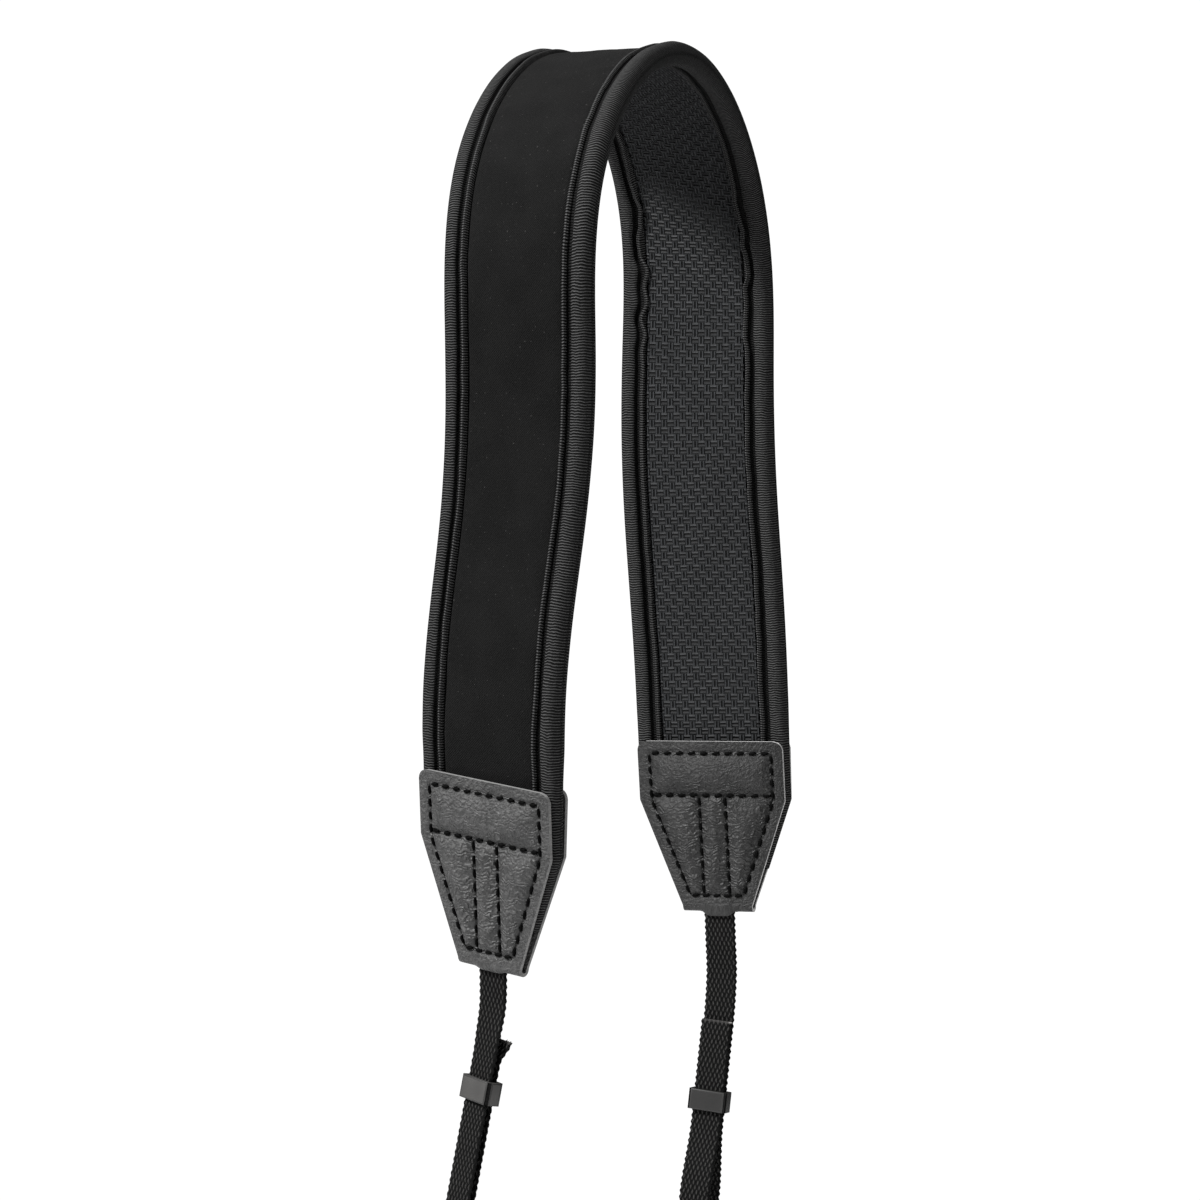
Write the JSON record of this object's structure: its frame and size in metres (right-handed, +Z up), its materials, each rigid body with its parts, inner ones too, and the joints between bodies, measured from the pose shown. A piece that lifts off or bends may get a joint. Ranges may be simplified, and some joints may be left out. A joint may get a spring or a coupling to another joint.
{
  "type": "camera neck strap",
  "caption": "Padded neoprene camera neck strap with bound edges, embossed grip lining, sewn leather end tabs, doubled webbing legs, sliding keepers and lug loops.",
  "frame": {"origin": "underside of the lining at the middle of the neck band, where the strap hangs on a neck or a rod", "axes": "+Z up, X from the near leg to the far leg, Y across the band's width"},
  "size_m": [0.1918, 0.0637, 0.4366],
  "materials": {
    "neoprene": "matte knit-faced foam",
    "grip": "embossed non-slip sheet",
    "tape": "ribbed tape",
    "leather": "fine grain",
    "webbing": "woven",
    "plastic": "satin moulding"
  },
  "bodies": {
    "root": {"neoprene_pad": "neoprene", "grip_lining": "grip", "edge_binding_front": "tape", "edge_binding_back": "tape", "end_tab_near": "leather", "webbing_near": "webbing", "adjuster_near": "plastic", "end_tab_far": "leather", "webbing_far": "webbing", "adjuster_far": "plastic"},
    "keeper_near": {"keeper_near": "plastic"},
    "keeper_far": {"keeper_far": "plastic"}
  },
  "joints": [
    {"name": "keeper_near_slide", "type": "slide", "parent": "root", "child": "keeper_near", "axis": [-0.081, 0.153, -0.9849], "range_m": [-0.0025, 0.03]},
    {"name": "keeper_far_slide", "type": "slide", "parent": "root", "child": "keeper_far", "axis": [-0.0644, 0.075, -0.9951], "range_m": [-0.015, 0.0025]}
  ]
}
